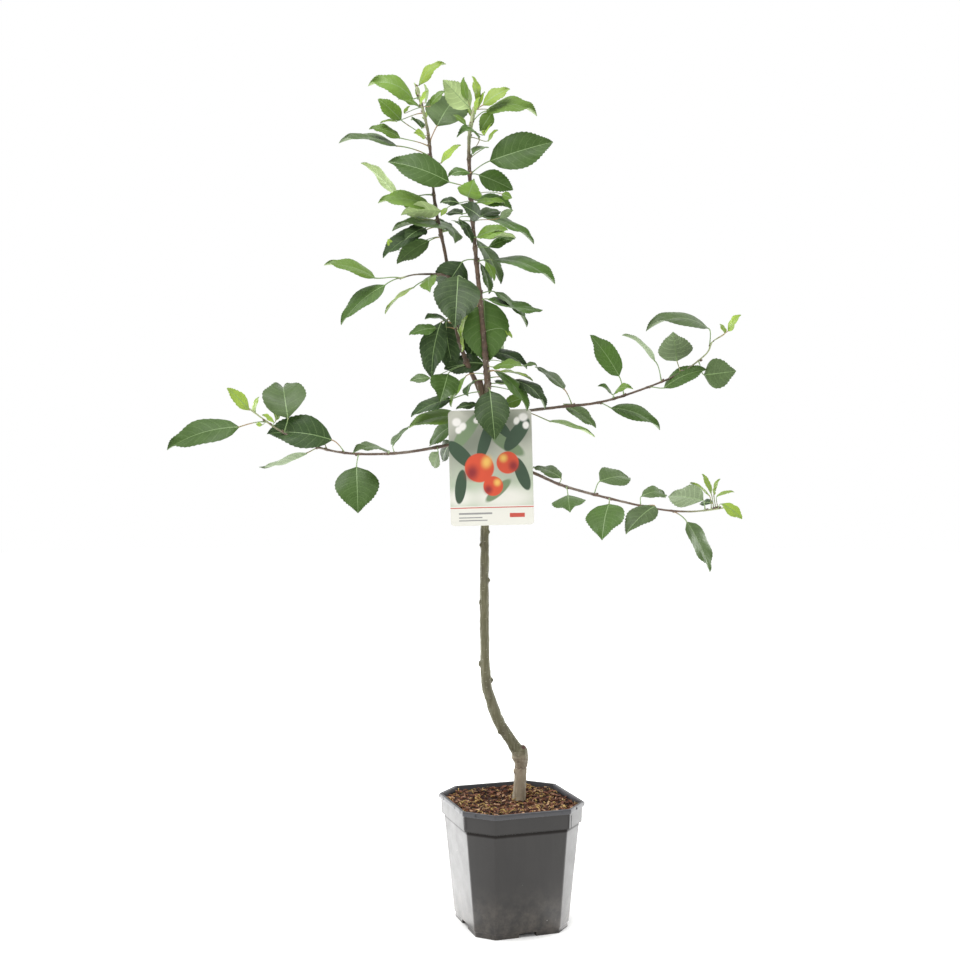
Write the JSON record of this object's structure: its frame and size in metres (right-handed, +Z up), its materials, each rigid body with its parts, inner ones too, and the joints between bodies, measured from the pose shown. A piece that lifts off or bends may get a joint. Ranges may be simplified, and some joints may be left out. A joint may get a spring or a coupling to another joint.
{
  "type": "dwarf apple tree in a pot",
  "caption": "Young dwarf apple tree with two upright leaders and three side boughs in leaf, standing in a square nursery pot with a hanging plant label.",
  "frame": {"origin": "centre of the flat pad under the pot, on the surface that the pot stands on", "axes": "+Z up along the trunk, +X to the right in the picture, -Y towards the picture's viewer"},
  "size_m": [0.8548, 0.4488, 1.2773],
  "materials": {
    "pot_plastic": "dark grey-brown moulded plastic, satin",
    "bark_compost": "dark bark compost with lighter chips",
    "bark": "olive-brown bark with raised knots, taupe below the graft",
    "young_bark": "reddish-brown young bark",
    "leaf": "green leaves with lighter ribs and pale undersides",
    "label_card": "coated white card, printed",
    "strap_plastic": "white flexible plastic strip"
  },
  "bodies": {
    "root": {"pot": "pot_plastic", "growing_medium": "bark_compost", "trunk": "bark", "left_leader": "young_bark", "right_leader": "young_bark", "left_bough": "young_bark", "right_upper_bough": "young_bark", "right_lower_bough": "young_bark", "left_spur": "young_bark", "front_shoot": "young_bark", "back_shoot": "young_bark", "label": "label_card", "label_strap": "strap_plastic", "leaves_back_shoot": "leaf", "leaves_front_shoot": "leaf", "leaves_heart": "leaf", "leaves_left_base": "leaf", "leaves_left_bough_inner": "leaf", "leaves_left_bough_middle": "leaf", "leaves_left_bough_outer": "leaf", "leaves_left_bough_tip": "leaf", "leaves_left_crown_tip": "leaf", "leaves_left_lower": "leaf", "leaves_left_middle": "leaf", "leaves_left_upper": "leaf", "leaves_right_crown_tip": "leaf", "leaves_right_lower": "leaf", "leaves_right_lower_inner": "leaf", "leaves_right_lower_middle": "leaf", "leaves_right_lower_outer": "leaf", "leaves_right_lower_tip": "leaf", "leaves_right_middle": "leaf", "leaves_right_upper": "leaf", "leaves_right_upper_inner": "leaf", "leaves_right_upper_middle": "leaf", "leaves_right_upper_tip": "leaf", "leaves_spur": "leaf"}
  },
  "joints": []
}
